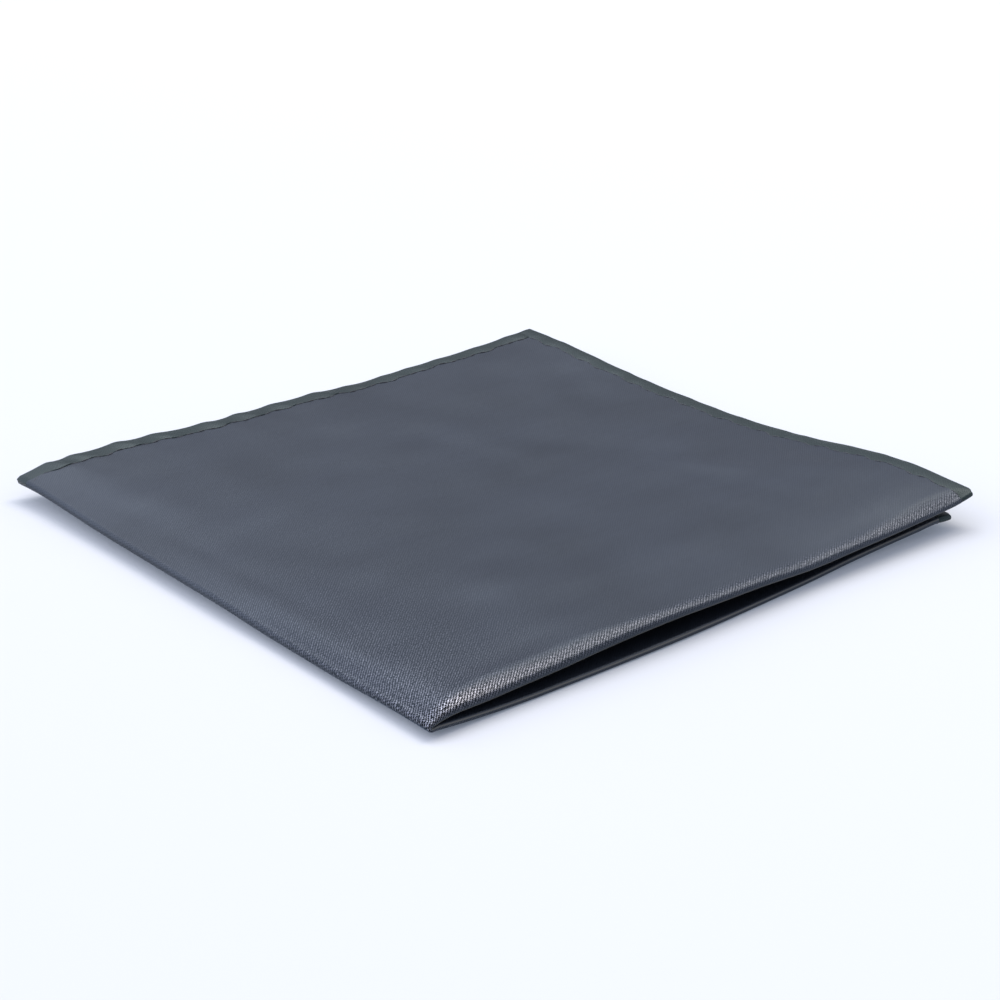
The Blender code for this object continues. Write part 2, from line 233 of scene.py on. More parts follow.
@dataclass(frozen=True)
class FoldedForm:
    """Form of the folded square: two leaves of two layers each, joined by the closed fold."""

    side: float = 110.0  # of the folded square
    leaf: float = 1.2  # thickness of a leaf, two layers of cloth pressed together
    parting: float = 0.3  # clear space between the leaves
    hem_width: float = 3.2  # of the turned and stitched edge
    short_lip: float = 4.8  # how far the lower leaf stops short of the upper one at the lips
    short_far: float = 2.5  # and at the far corner
    short_left: float = 0.8  # and along the left hem
    lip_bow: float = 0.5  # how far the lower lip bows out in the middle
    fold_pile: float = 1.35  # height of the four layers pressed together at the closed fold
    leaf_share: float = 0.46  # the most that one leaf takes of the pile's height
    over_reach: float = 45.0  # how far across the cloth the top is raised beside the closed fold
    lip_reach: float = 44.0  # how far from the lips the lower lip's lift spreads
    thin_reach: float = 8.0  # how far from the lips the leaves thicken from the lips' thickness
    round_reach: float = 10.0  # and how far from them the lip's round end is evened out
    roll_start: float = 1.2  # over which the slope down to the upper lip begins
    soft_reach: float = 11.0  # how far behind the upper lip its softer fall begins
    loft: float = 0.35  # air between the leaves in the middle of the square
    trough_depth: float = 0.25  # of the shallow trough beside the closed fold
    trough_place: float = 16.0  # its distance from the closed fold
    trough_width: float = 9.0  # each way from its middle
    ruffle: float = 0.03  # height of the faint waves
    bend: float = 1.3  # the angle by which they are bent
    bend_length: float = 7.0  # over which that bend turns by one radian
    edge_fade: float = 5.0  # how far from the free edges the creases are whole
    flare: float = 0.65  # how far the left corner's tip is drawn out
    flare_reach: float = 9.0  # how far from the tip it is

    @property
    def half(self) -> float:
        """Half the side."""
        return self.side / 2

    @property
    def fold_radius(self) -> float:
        """Outside radius of the closed fold."""
        return self.fold_pile / 2

    @property
    def fold_middle(self) -> float:
        """Radius of the leaf's middle round the closed fold."""
        return self.fold_radius - self.leaf_share * self.fold_pile / 2

    @property
    def fold_centre(self) -> float:
        """X of the closed fold's centre line."""
        return self.fold_radius - self.half

    @property
    def arc(self) -> float:
        """Length of the leaf's middle round the closed fold."""
        return math.pi * self.fold_middle

    def inward(self, x: Array, y: Array) -> tuple[Array, Array]:
        """Distances from the closed fold's centre line and from the lips."""
        return np.maximum(x - self.fold_centre, 0.0), y + self.half

    def lip_lift(self, x: Array, y: Array) -> Array:
        """Lift that the lower lip gives both leaves."""
        return read_table(LIPS, "lift", x + self.half) * nearness(y + self.half, self.lip_reach)

    def under(self, x: Array, y: Array) -> Array:
        """Works out how high the lower leaf's underside is: the closed fold's and the lip's lift.

        Args:
            x: places along the lips.
            y: places along the closed fold.

        Returns:
            The height off the surface, nothing where the leaf lies flat.
        """
        from_fold, from_lips = self.inward(x, y)
        reach = read_table(CLOSED_FOLD, "reach", from_lips)
        fold = read_table(CLOSED_FOLD, "lift", from_lips) * nearness(from_fold, reach)
        return fold + self.lip_lift(x, y)

    def roll(self, x: Array, y: Array) -> Array:
        """Works out how far the top rolls down to the upper lip.

        A strip of one slope goes down to the lip. Its slope begins as a smooth step, whose
        integral t - t³ + t⁴ / 2 is added. A softer fall is a nearness.

        Args:
            x: places along the lips.
            y: places along the closed fold.

        Returns:
            How far down the top is.
        """
        place, from_lips = x + self.half, y + self.half
        strip = read_table(LIPS, "strip", place)
        part = np.clip((from_lips - strip) / self.roll_start, 0.0, 1.0)
        begun = self.roll_start * (0.5 - part + part**3 - part**4 / 2)
        steep = read_table(LIPS, "slope", place) * (np.maximum(strip - from_lips, 0.0) + begun)
        return steep + read_table(LIPS, "soft", place) * nearness(from_lips, self.soft_reach)

    def creases(self, x: Array, y: Array) -> Array:
        """Adds up the soft creases that cross the top.

        Each one's height falls as a bell, exp(-t²), along it and across it. Faint sines, bent by
        other sines, add the unevenness of handled cloth. All of it fades out by the free edges.

        Args:
            x: places along the lips.
            y: places along the closed fold.

        Returns:
            Their height at each place.
        """
        height = np.zeros_like(x)
        for east, north, degrees, length, width, rise in zip(*CREASES.values()):
            along, across = turned(x - east, y - north, degrees)
            height = height + rise * np.exp(-((along / length) ** 2) - (across / width) ** 2)
        for degrees, wave, shift in WAVES:
            along, across = turned(x, y, degrees)
            bent = shift + self.bend * np.sin(2 * shift - across / self.bend_length)
            height = height + self.ruffle * np.sin(2 * math.pi * along / wave + bent)
        open_edges = np.minimum(self.half - self.hem_width - abs(x), self.half - abs(y))
        return height * smooth_step(open_edges, 0.0, self.edge_fade)

    def level(self, x: Array, y: Array) -> Array:
        """Works out the height of the top before the closed fold presses it down.

        The air along the three open edges is blended in as a Coons patch, whose closed side has
        none. To it are added the lift and the loft of the middle, and the roll to the upper lip
        and the trough beside the closed fold are taken away.

        Args:
            x: places along the lips.
            y: places along the closed fold.

        Returns:
            The top's height off the surface that the square lies on.
        """
        from_fold, from_lips = self.inward(x, y)
        across = np.clip(from_fold / (self.half - self.fold_centre), 0.0, 1.0)
        along = np.clip(from_lips / self.side, 0.0, 1.0)
        lip_part, left_part, right_part = (1 - along) ** 2.2, along**3, across**2.2
        lips = read_table(LIPS, "air", x + self.half)
        left = read_table(LEFT_EDGE, "air", x + self.half)
        right = read_table(RIGHT_EDGE, "air", from_lips)
        corners = lip_part * RIGHT_EDGE["air"][0] + left_part * RIGHT_EDGE["air"][-1]
        air = lip_part * lips + left_part * left + right_part * (right - corners)
        loft = self.loft * np.sin(math.pi * across) * np.sin(math.pi * along)
        beside_fold = np.exp(-(((x + self.half - self.trough_place) / self.trough_width) ** 2))
        trough = self.trough_depth * beside_fold * np.sin(math.pi * along) ** 2
        over = read_table(CLOSED_FOLD, "over", from_lips) * nearness(from_fold, self.over_reach)
        pile = 2 * self.leaf + self.parting + air + loft - trough
        return over + self.lip_lift(x, y) + pile + self.creases(x, y) - self.roll(x, y)

    def top(self, x: Array, y: Array) -> Array:
        """Works out the height of the top: its level, pressed down to the closed fold's pile.

        Args:
            x: places along the lips.
            y: places along the closed fold.

        Returns:
            The top's height off the surface that the square lies on.
        """
        from_fold, from_lips = self.inward(x, y)
        fold = np.full_like(x, self.fold_centre)
        pressed = self.level(fold, y) - self.under(fold, y) - self.fold_pile
        reach = read_table(CLOSED_FOLD, "press", from_lips)
        return self.level(x, y) - pressed * nearness(from_fold, reach)

    def thinness(self, path: Array, y: Array) -> Array:
        """Works out how thick a leaf is, as a part of a loose one.

        It is thinner towards the lips, and nowhere thicker than its share of the pile.

        Args:
            path: distance along the cloth from the top of the closed fold.
            y: places along the closed fold.

        Returns:
            The part, at most one.
        """
        x = self.fold_centre + np.maximum(path, 0.0) + np.maximum(-path - self.arc, 0.0)
        high, low = (read_table(LIPS, column, x + self.half) for column in ("high", "low"))
        lip = np.where(path > -self.arc / 2, high, low) / self.leaf
        loose = 1 - (1 - lip) * nearness(y + self.half, self.thin_reach)
        return np.minimum(loose, self.leaf_share * (self.top(x, y) - self.under(x, y)) / self.leaf)

    def leaf_middle(self, path: Array, y: Array) -> tuple[Array, Array, Array]:
        """Places the middle of the leaves, from the upper leaf round the closed fold to the lower.

        Above nothing the path is x over the upper leaf. Then it runs round the closed fold, a
        half circle, and after that it is x over the lower leaf.

        Args:
            path: distance along the cloth from the top of the closed fold.
            y: places along the closed fold.

        Returns:
            The middle's points, the direction that faces out of the folded square, and how thick
            the leaf is, as a part of a loose one.
        """
        below = np.maximum(-path - self.arc, 0.0)
        turn = np.clip(-path / self.fold_middle, 0.0, math.pi)
        x = self.fold_centre + np.maximum(path, 0.0) + below
        thin, under = self.thinness(path, y), self.under(x, y)
        upper = self.top(x, y) - thin * self.leaf / 2
        fold = under + self.fold_radius + self.fold_middle * np.cos(turn)
        lower = under + thin * self.leaf / 2
        middle_z = np.where(path > 0, upper, np.where(below > 0, lower, fold))
        swell = np.sin(math.pi * below / (self.half - self.fold_centre))
        back = np.where(below > 0, read_table(LIPS, "back", x + self.half), 0.0)
        bow = (self.lip_bow * swell - back) * nearness(y + self.half, self.lip_reach)
        along, across = self.half - y, x - self.fold_centre
        tip = nearness(along, self.flare_reach) * nearness(across, self.flare_reach)
        middle_x = x - self.fold_middle * np.sin(turn) - self.flare * tip
        middle = np.stack([middle_x, y - bow + self.flare * tip, middle_z], axis=-1)
        outward = np.stack([-np.sin(turn), np.zeros_like(turn), np.cos(turn)], axis=-1)
        return middle, outward, thin

    def place(self, path: Array, run: Array, rise: Array, radius: float) -> Array:
        """Places points of one layer of cloth.

        The run turns round the lip as a half circle between -1 and 1. Beyond, it counts on in
        millimetres, over the outer layer where it is above nothing and over the inner layer where
        it is below. Where the leaf is thin, its layers are as much closer and thinner.

        Args:
            path: distance along the cloth from the top of the closed fold.
            run: where the point is along the cloth.
            rise: height off the layer's middle, towards its face.
            radius: the layer's distance from its leaf's middle.

        Returns:
            The points, in millimetres.
        """
        turn = np.clip(run, -1.0, 1.0) * math.pi / 2
        straight = np.maximum(abs(run) - 1.0, 0.0)
        lip = self.thinness(path, np.full_like(path, -self.half))
        round_end = self.leaf / 2 * lip * np.clip(1 - straight / self.round_reach, 0.0, 1.0)
        y = round_end - self.half - radius * lip * np.cos(turn) + straight
        middle, outward, thin = self.leaf_middle(path, y)
        points = middle + outward * ((radius + rise) * thin * np.sin(turn))[..., None]
        points[..., 1] -= rise * thin * np.cos(turn)
        return points

    def run_to(self, y: float | Array) -> float | Array:
        """Run at a place along the closed fold, well away from the lips."""
        return y + self.half + 1.0

    def cloth_run(self, run: Array, radius: float) -> Array:
        """Length of the cloth from the lip's outermost line to a run."""
        bend = math.pi / 2 * radius * np.clip(run, -1.0, 1.0)
        return bend + np.sign(run) * np.maximum(abs(run) - 1.0, 0.0)

    def left_short(self, path: Array) -> Array:
        """How far the cloth stops short of the square's left edge: the lower leaf's does."""
        return self.short_left * smooth_step(-path - self.arc, 0.0, 6.0)

    def lower_end(self, y: Array) -> Array:
        """Path of the lower leaf's free right edge."""
        short = self.short_lip + (self.short_far - self.short_lip) * (y + self.half) / self.side
        return -(self.arc + self.half - short - self.fold_centre)


@dataclass(frozen=True)
class Puckers:
    """Uneven ridges that the stitching draws into a hem, leaning across its width."""

    ridges: tuple[float, ...]  # their places along the hem's free edge
    sizes: tuple[float, ...]  # as parts of the largest
    rise: float = 0.18  # height of the largest ridge
    spread: float = 0.30  # how far a ridge pushes the free edge out
    slant: float = 3.2  # how far a ridge moves along the hem from the free edge to the stitches
    skew: float = 0.35  # how far its top leans to one side

    @classmethod
    def uneven(cls, length: float, shift: float, strength: float, gap: float = 7.9) -> "Puckers":
        """Lays out ridges that a sine moves and sizes a little.

        Args:
            length: the hem's length.
            shift: part of a ridge that the row is moved along by.
            strength: the ridges' size, as a part of the largest.
            gap: distance between two ridges before they are moved.

        Returns:
            The hem's puckers.
        """
        number = np.arange(-2, int(length / gap) + 4)
        places = gap * (number + shift) + 1.8 * np.sin(2.4 * number + 9 * shift)
        sizes = strength * (0.75 + 0.25 * np.sin(3.1 * number + 5 * shift))
        return cls(tuple(places), tuple(sizes))

    def wave(self, place: Array, across: Array) -> Array:
        """Works out the ridges: each one's size on its ridge and nothing between.

        The ridges' number grows by one from each to the next, and the wave is its raised cosine.

        Args:
            place: places along the hem.
            across: nothing at the free edge and one at the stitches.

        Returns:
            The wave at each place.
        """
        moved = place - self.slant * across
        phase = 2 * math.pi * np.interp(moved, self.ridges, np.arange(len(self.ridges)))
        size = np.interp(moved, self.ridges, self.sizes)
        return size * (0.5 + 0.5 * np.cos(phase + self.skew * np.sin(phase)))


def grid_faces(rows: int, columns: int, ring: bool = False) -> Array:
    """Numbers the quads of a grid of points.

    Args:
        rows: number of rows.
        columns: number of columns.
        ring: whether the last column joins the first.

    Returns:
        Four point numbers for each quad.
    """
    index = np.arange(rows * columns).reshape(rows, columns)
    if ring:
        index = np.concatenate([index, index[:, :1]], axis=1)
    corners = [index[:-1, :-1], index[1:, :-1], index[1:, 1:], index[:-1, 1:]]
    return np.stack(corners, axis=-1).reshape(-1, 4)


def in_scene(name: str, data: bpy.types.ID) -> Piece:
    """Puts a mesh, a light or a camera in the scene.

    Args:
        name: the object's name.
        data: what it shows.

    Returns:
        The object.
    """
    made = bpy.data.objects.new(name, data)
    bpy.context.scene.collection.objects.link(made)
    return made


def make_piece(name: str, points: Array, faces: list[list[int]], chart: Array) -> Piece:
    """Makes a smooth mesh object whose faces point out.

    Args:
        name: the piece's name.
        points: its points, in millimetres. Those below the surface that the square lies on are
            brought up to it, as its weight presses them flat.
        faces: point numbers of each face.
        chart: each point's place on the flat cloth, in metres, kept as the UV map "cloth".

    Returns:
        The object, at the origin.
    """
    mesh = bpy.data.meshes.new(name)
    pressed = np.maximum(points.reshape(-1, 3), (-np.inf, -np.inf, 0.0))
    mesh.from_pydata((pressed * MM).tolist(), [], faces)
    outward = bmesh.new()
    outward.from_mesh(mesh)
    bmesh.ops.recalc_face_normals(outward, faces=outward.faces[:])
    outward.to_mesh(mesh)
    outward.free()
    corner_points = np.zeros(len(mesh.loops), np.int32)
    mesh.loops.foreach_get("vertex_index", corner_points)
    uv = mesh.uv_layers.new(name="cloth")
    uv.uv.foreach_set("vector", chart.reshape(-1, 2)[corner_points].ravel())
    mesh.shade_smooth()
    mesh.set_sharp_from_angle(angle=math.radians(60))
    return in_scene(name, mesh)


class Nodes:
    """Short way to add and join the nodes of one tree."""

    def __init__(self, tree: Tree) -> None:
        """Keeps the tree that nodes are added to."""
        self.tree = tree

    def add(self, kind: str, **settings: object) -> Node:
        """Adds a node.

        Args:
            kind: the node's type.
            settings: its own settings, such as its operation.

        Returns:
            The node.
        """
        node = self.tree.nodes.new(kind)
        for name, value in settings.items():
            setattr(node, name, value)
        return node

    def put(self, node: Node, **inputs: object) -> Node:
        """Sets or links a node's inputs.

        Args:
            node: the node.
            inputs: a value or an output socket for each input, named as on the node with an
                underscore for each space, or a number after an "at_". A colour is three numbers.

        Returns:
            The node.
        """
        for name, value in inputs.items():
            key = int(name[3:]) if name.startswith("at_") else name.replace("_", " ")
            socket = node.inputs[key]
            if isinstance(value, Socket):
                self.tree.links.new(value, socket)
            else:
                socket.default_value = (*value, 1.0) if socket.type == "RGBA" else value
        return node

    def number(self, operation: str, *values: object, kind: str = "ShaderNodeMath") -> Socket:
        """Adds a Math node, or a Vector Math one that gives a number, and returns its output."""
        inputs = dict(zip(("at_0", "at_1", "at_2"), values))
        return self.put(self.add(kind, operation=operation), **inputs).outputs["Value"]

    def vector(self, operation: str, *values: object) -> Socket:
        """Adds a Vector Math node and returns its output."""
        node = self.add("ShaderNodeVectorMath", operation=operation)
        return self.put(node, **dict(zip(("at_0", "at_1", "at_2"), values))).outputs["Vector"]

    def mix(self, part: object, first: object, second: object) -> Socket:
        """Adds a Mix node for two colours and returns its output."""
        node = self.add("ShaderNodeMix", data_type="RGBA")
        return self.put(node, at_0=part, at_6=first, at_7=second).outputs[2]

    def fade(
        self, value: Socket, start: float, end: float, low: float = 0.0, high: float = 1.0
    ) -> Socket:
        """Adds a smooth step.

        Args:
            value: the number that it follows.
            start: where it leaves its low end.
            end: where it reaches its high end.
            low: what it gives at the start.
            high: what it gives at the end.

        Returns:
            The step's output.
        """
        node = self.add("ShaderNodeMapRange", interpolation_type="SMOOTHSTEP")
        inputs = {"Value": value, "From_Min": start, "From_Max": end, "To_Min": low, "To_Max": high}
        return self.put(node, **inputs).outputs["Result"]

    def noise(self, place: Socket, stretch: Colour, detail: float) -> Node:
        """Adds a noise, and returns its node. The larger the stretch, the finer it is."""
        stretched = self.vector("MULTIPLY", place, stretch)
        return self.put(self.add("ShaderNodeTexNoise"), Vector=stretched, Scale=1.0, Detail=detail)

    def bell(self, value: Socket, centre: float, width: float) -> Socket:
        """Adds a bell, exp(-t²), with t the distance from its centre in widths.

        Args:
            value: the number that it follows.
            centre: where it is one.
            width: one unit of t.

        Returns:
            The bell's output.
        """
        off = self.number("DIVIDE", self.number("SUBTRACT", value, centre), width)
        square = self.number("MULTIPLY", off, off)
        return self.number("EXPONENT", self.number("MULTIPLY", square, -1.0))


def new_material(name: str) -> tuple[Material, Nodes, Node]:
    """Makes a material.

    Args:
        name: its name.

    Returns:
        The material, its node helper and its shader.
    """
    material = bpy.data.materials.new(name)
    material.use_nodes = True
    return material, Nodes(material.node_tree), material.node_tree.nodes["Principled BSDF"]


def new_group(
    name: str, inputs: dict[str, float | None], outputs: tuple[str, ...]
) -> tuple[Tree, Nodes, bpy.types.NodeOutputs, Node]:
    """Makes an empty shader node group.

    Args:
        name: the group's name.
        inputs: each input's first value, a number, or None for a vector.
        outputs: the outputs' names, all of them numbers.

    Returns:
        The group, its node helper, the sockets of its inputs and its output node.
    """
    group = bpy.data.node_groups.new(name, "ShaderNodeTree")
    for label, value in inputs.items():
        kind = "NodeSocketVector" if value is None else "NodeSocketFloat"
        socket = group.interface.new_socket(label, in_out="INPUT", socket_type=kind)
        if value is not None:
            socket.default_value = value
    for label in outputs:
        group.interface.new_socket(label, in_out="OUTPUT", socket_type="NodeSocketFloat")
    nodes = Nodes(group)
    return group, nodes, nodes.add("NodeGroupInput").outputs, nodes.add("NodeGroupOutput")


def weave_group() -> Tree:
    """Makes the five-shaft satin weave.

    Every thread passes under one of five that cross it, and the next thread does so three further
    on. Those pits form a slanting lattice, and the relief is the sum of the three cosines whose
    waves fit it: -u/5 + 2v/5, u/5 + 3v/5 and 2u/5 + v/5, with u and v counted in threads. A noise
    moves the threads a little, as slubs do, and the floats between the pits differ a little.

    Returns:
        The node group, with the relief, the pits and the floats as outputs.
    """
    values = {"Cloth": None, "Warp": 0.000108, "Weft": 0.00020, "Slub": 0.3, "Uneven": 5.0}
    group, nodes, source, sink = new_group("satin_weave", values, ("Relief", "Pits", "Floats"))
    cloth = source["Cloth"]
    spacing = nodes.put(nodes.add("ShaderNodeCombineXYZ"), X=source["Warp"], Y=source["Weft"])
    noise = nodes.noise(cloth, (420.0, 420.0, 420.0), 2.0)
    moved = nodes.vector("SUBTRACT", noise.outputs["Color"], (0.5, 0.5, 0.5))
    slub = nodes.number("MULTIPLY", source["Slub"], 8.0)
    counted = nodes.vector("DIVIDE", cloth, spacing.outputs[0])
    threads = nodes.vector("MULTIPLY_ADD", moved, slub, counted)
    relief = 0.0
    for across, along, share in ((-0.2, 0.4, 1.0), (0.2, 0.6, 0.6), (0.4, 0.2, 0.6)):
        wave = (2 * math.pi * across, 2 * math.pi * along, 0.0)
        turns = nodes.number("DOT_PRODUCT", threads, wave, kind="ShaderNodeVectorMath")
        relief = nodes.number("MULTIPLY_ADD", nodes.number("COSINE", turns), share, relief)
    bundles = nodes.noise(cloth, (3600.0, 2400.0, 1.0), 1.0)
    around = nodes.number("SUBTRACT", bundles.outputs[0], 0.5)
    uneven = nodes.number("MULTIPLY_ADD", around, source["Uneven"], 1.0)
    floats = nodes.fade(relief, 0.5, -0.9)
    shine = nodes.number("MULTIPLY", floats, nodes.number("MAXIMUM", uneven, 0.0))
    height = nodes.number("MULTIPLY", relief, -0.45)
    nodes.put(sink, Relief=height, Pits=nodes.fade(relief, 0.6, 2.0), Floats=shine)
    return group


def wear_and_highlight_group() -> Tree:
    """Makes the marks of handling on the satin, with painted light, from the cloth's own chart.

    The floats shine where the threads are scuffed up, by the near corner, and on the strip just
    behind each lip's edge, where their shine is a painted highlight. The mark is
    Corner exp(-r / 15 mm) + Lip exp(-((v - 1.3 mm) / 1.2 mm)²), with r the distance from the near
    corner, counted less than half along the closed fold, and v from the lip's outermost line, on
    the outside of the fold only. The light line just inside a lip is a painted reflection of the
    floor, the bell exp(-((v + 0.30 mm) / 0.12 mm)²).

    Returns:
        The node group, with the scuffed floats and painted highlight, and the painted reflection
        of the floor, as outputs, none to one.
    """
    values = {"Cloth": None, "Corner": 0.74, "Lip": 0.5}
    group, nodes, source, sink = new_group("satin_wear_and_highlight", values, ("Rubbed", "Line"))
    cloth = source["Cloth"]
    from_lip = nodes.put(nodes.add("ShaderNodeSeparateXYZ"), Vector=cloth).outputs["Y"]
    nearer = nodes.vector("MULTIPLY", cloth, (1.0, 0.42, 1.0))
    reach = nodes.number("LENGTH", nearer, kind="ShaderNodeVectorMath")
    fading = nodes.number("EXPONENT", nodes.number("DIVIDE", reach, -0.015))
    by_corner = nodes.number("MULTIPLY", fading, source["Corner"])
    # The bell on the strip just behind the lip's edge is a painted highlight, where the lamp's
    # highlight falls.
    on_lip = nodes.bell(from_lip, 0.0013, 0.0012)
    scuff_and_highlight = nodes.number("MULTIPLY_ADD", on_lip, source["Lip"], by_corner)
    outside = nodes.fade(from_lip, -0.0004, 0.0007)
    scuff_and_highlight_mask = nodes.number("MULTIPLY", nodes.number("MINIMUM", scuff_and_highlight, 1.0), outside)
    # The bell just inside the lip is a painted reflection of the floor.
    nodes.put(sink, Rubbed=scuff_and_highlight_mask, Line=nodes.bell(from_lip, -0.0003, 0.00012))
    return group


def mottle_group() -> Tree:
    """Makes the soft unevenness of handled satin, as a number around one.

    Two noises are added, broad clouds and fine streaks that follow the cloth's width.

    Returns:
        The node group, with the tone as its output.
    """
    values = {"Vector": None, "Clouds": 0.05, "Streaks": 0.03}
    group, nodes, source, sink = new_group("satin_mottle", values, ("Tone",))
    tone = 1.0
    for share, stretch, detail in (
        ("Clouds", (45.0, 45.0, 45.0), 3.0),
        ("Streaks", (90.0, 700.0, 500.0), 2.0),
    ):
        noise = nodes.noise(source["Vector"], stretch, detail)
        around = nodes.number("MULTIPLY_ADD", noise.outputs[0], 2.0, -1.0)
        tone = nodes.number("MULTIPLY_ADD", around, source[share], tone)
    nodes.put(sink, Tone=tone)
    return group


@dataclass(frozen=True)
class SatinFinish:
    """Finish of the satin."""

    name: str
    colour: Colour  # of the floats
    pit_shade_colour: Colour  # in the pits between them, darker as painted shade
    roughness: float = 0.40  # of the floats' sheen
    pit_roughness: float = 0.65
    gloss: float = 0.42  # strength of the sheen, where a half is that of plain cloth
    sheen: Colour = (0.65, 0.82, 0.99)  # its colour
    relief: float = 0.000009  # height of the weave, in metres
    clouds: float = 0.5  # strength of the broad unevenness
    streaks: float = 0.15  # and of the fine streaks
    wear_and_highlight_shine: Colour = (0.145, 0.15, 0.172)  # of the floats where they are scuffed up, and on the strip behind the lips a painted highlight
    line: float = 0.55  # strength of the painted reflection of the floor, a light line inside the lips
    # colour of that painted reflection of the floor
    floor_reflection_colour: Colour = (0.19, 0.175, 0.14)

    def make(self, weave: Tree, wear_and_highlight: Tree, mottle: Tree) -> Material:
        """Builds the material.

        Args:
            weave: the weave's node group.
            wear_and_highlight: the node group of the marks of handling, with the painted highlight
                and the painted reflection.
            mottle: the unevenness's node group.

        Returns:
            The material.
        """
        material, nodes, shader = new_material(self.name)
        cloth = nodes.add("ShaderNodeUVMap", uv_map="cloth").outputs[0]
        threads = nodes.put(nodes.add("ShaderNodeGroup", node_tree=weave), Cloth=cloth).outputs
        marks = nodes.put(nodes.add("ShaderNodeGroup", node_tree=wear_and_highlight), Cloth=cloth).outputs
        place = nodes.add("ShaderNodeTexCoord").outputs["Object"]
        tone = nodes.add("ShaderNodeGroup", node_tree=mottle)
        nodes.put(tone, Vector=place, Clouds=self.clouds, Streaks=self.streaks)
        # The pits take a darker colour: painted shade in the weave's recesses.
        plain = nodes.mix(threads["Pits"], self.colour, self.pit_shade_colour)
        toned = nodes.vector("MULTIPLY", plain, tone.outputs["Tone"])
        # Metal floats: scuffed-up threads by the near corner, and a painted highlight on the strip
        # behind the lips.
        shine = nodes.vector("MULTIPLY", self.wear_and_highlight_shine, threads["Floats"])
        # The light line inside the lips is a painted reflection of the floor; handled holds it with
        # the scuffed floats and the painted highlight.
        line = nodes.number("MULTIPLY", marks["Line"], self.line)
        handled = nodes.mix(line, nodes.mix(marks["Rubbed"], toned, shine), self.floor_reflection_colour)
        metal = nodes.number("MULTIPLY", marks["Rubbed"], nodes.number("SUBTRACT", 1.0, line))
        bump = nodes.add("ShaderNodeBump")
        nodes.put(bump, Strength=1.0, Distance=self.relief, Height=threads["Relief"])
        more = self.pit_roughness - self.roughness
        dull = nodes.number("MULTIPLY_ADD", threads["Pits"], more, self.roughness)
        nodes.put(shader, Base_Color=handled, Metallic=metal, Normal=bump.outputs[0])
        nodes.put(shader, Roughness=dull, Specular_IOR_Level=self.gloss, Specular_Tint=self.sheen)
        return material


@dataclass(frozen=True)
class ThreadFinish:
    """Finish of the sewing thread."""

    colour: Colour = (0.030, 0.036, 0.046)
    roughness: float = 0.6
    twist: float = 0.0003  # distance between its twisted plies, in metres

    def make(self) -> Material:
        """Builds the material: twisted plies are a wave along the thread's own chart, with painted
        shade in the grooves between them.

        Returns:
            The material.
        """
        material, nodes, shader = new_material("hem_thread")
        cloth = nodes.add("ShaderNodeUVMap", uv_map="cloth").outputs[0]
        wave = nodes.add("ShaderNodeTexWave", wave_type="BANDS", bands_direction="DIAGONAL")
        nodes.put(wave, Vector=cloth, Scale=0.3 / self.twist, Distortion=0.4)
        # The grooves between the plies take half the colour: painted shade.
        dark = tuple(0.5 * part for part in self.colour)
        plies = nodes.mix(wave.outputs["Fac"], dark, self.colour)
        bump = nodes.put(nodes.add("ShaderNodeBump"), Distance=0.00002, Height=wave.outputs["Fac"])
        nodes.put(shader, Base_Color=plies, Normal=bump.outputs[0], Roughness=self.roughness)
        return material


